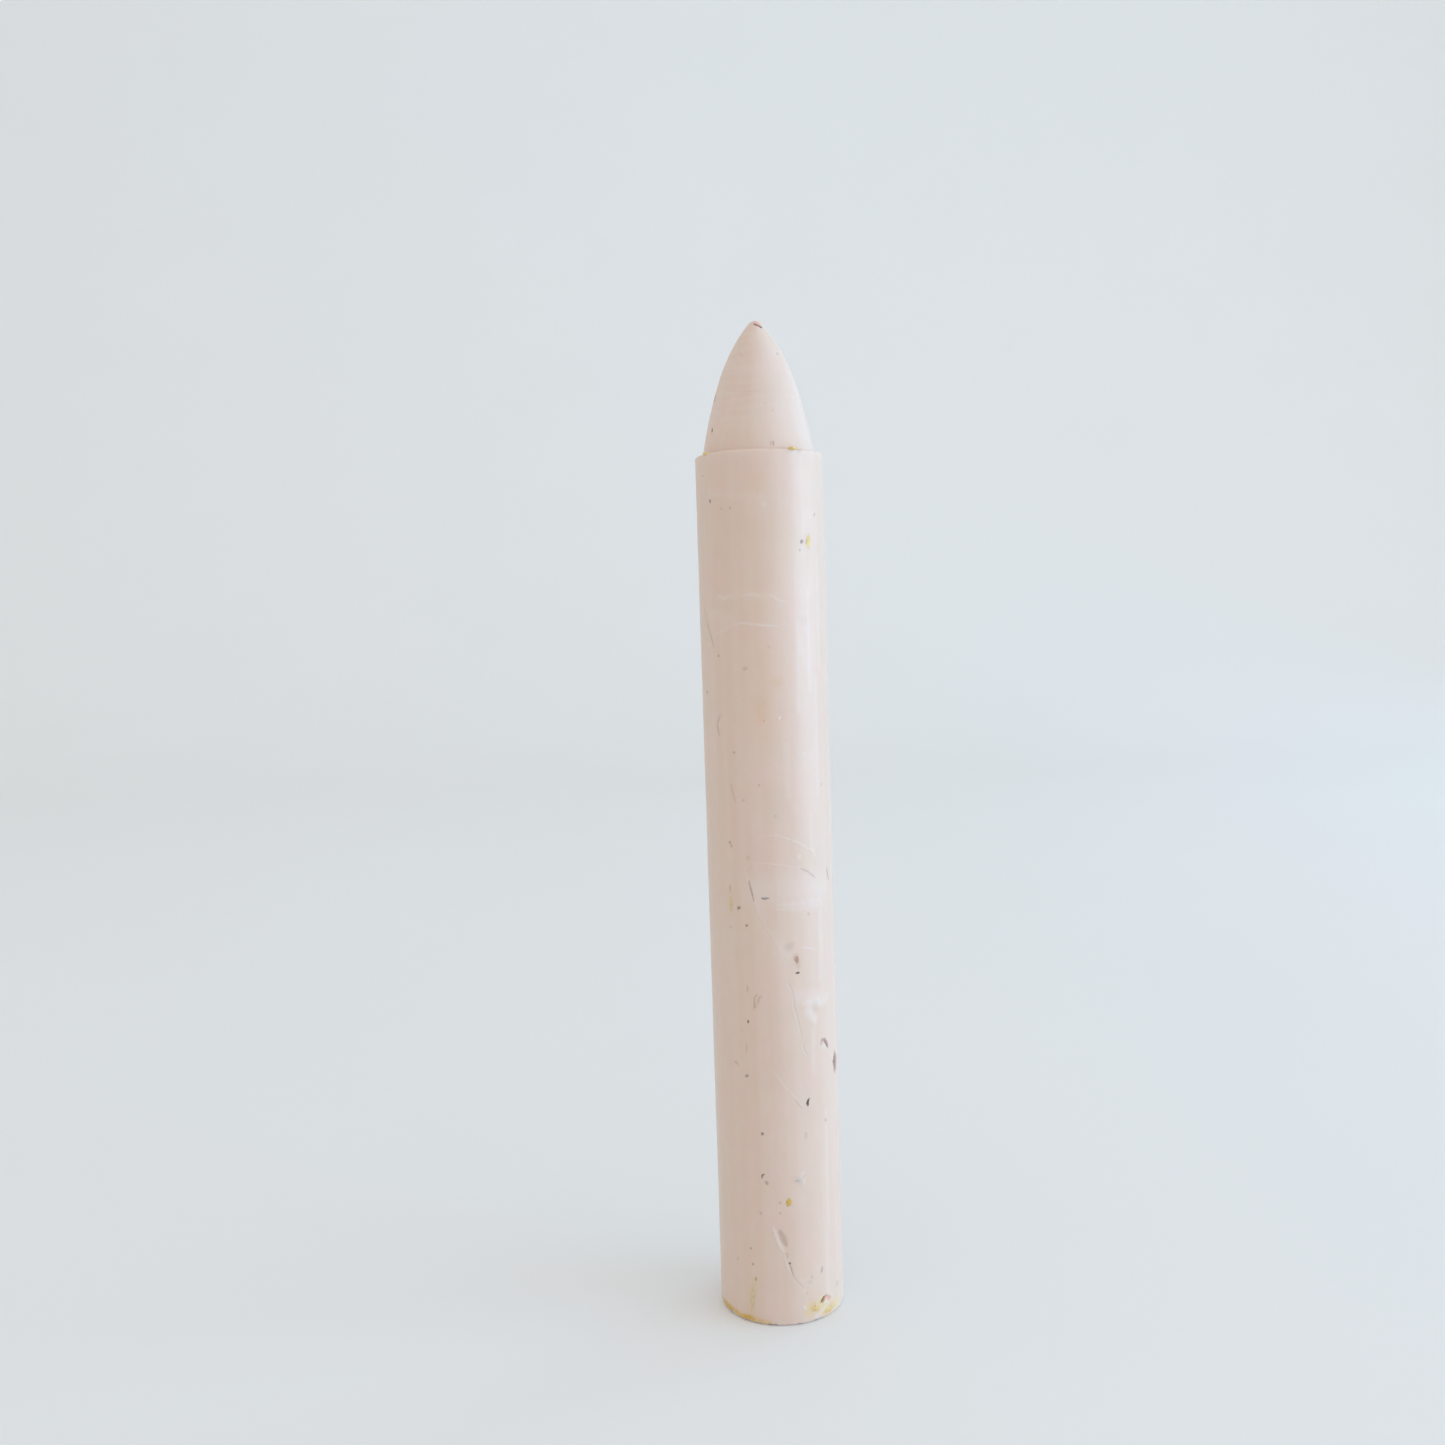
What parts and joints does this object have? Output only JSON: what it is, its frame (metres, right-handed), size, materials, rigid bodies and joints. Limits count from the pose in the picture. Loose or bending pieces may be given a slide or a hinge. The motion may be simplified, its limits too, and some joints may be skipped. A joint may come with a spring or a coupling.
{
  "type": "wax crayon",
  "caption": "Chunky round wax crayon, cast in one piece with a stepped shoulder and a blunt ogive nose, standing on its flat base; crumbs of other wax stick to it.",
  "frame": {"origin": "centre of the flat base, which lies at z = 0", "axes": "+Z along the crayon's axis from the base to the nose; the face seen from the front looks along -Y, and +X is to its right"},
  "size_m": [0.012, 0.0121, 0.0944],
  "materials": {
    "peach_wax": "satin wax, slightly translucent, scuffed",
    "yellow_wax": "satin wax",
    "dark_wax": "satin wax"
  },
  "bodies": {
    "root": {"wax_stick": "peach_wax", "yellow_crumbs_shoulder": "yellow_wax", "yellow_flakes_barrel": "yellow_wax", "yellow_flakes_base": "yellow_wax", "dark_flakes": "dark_wax"}
  },
  "joints": []
}
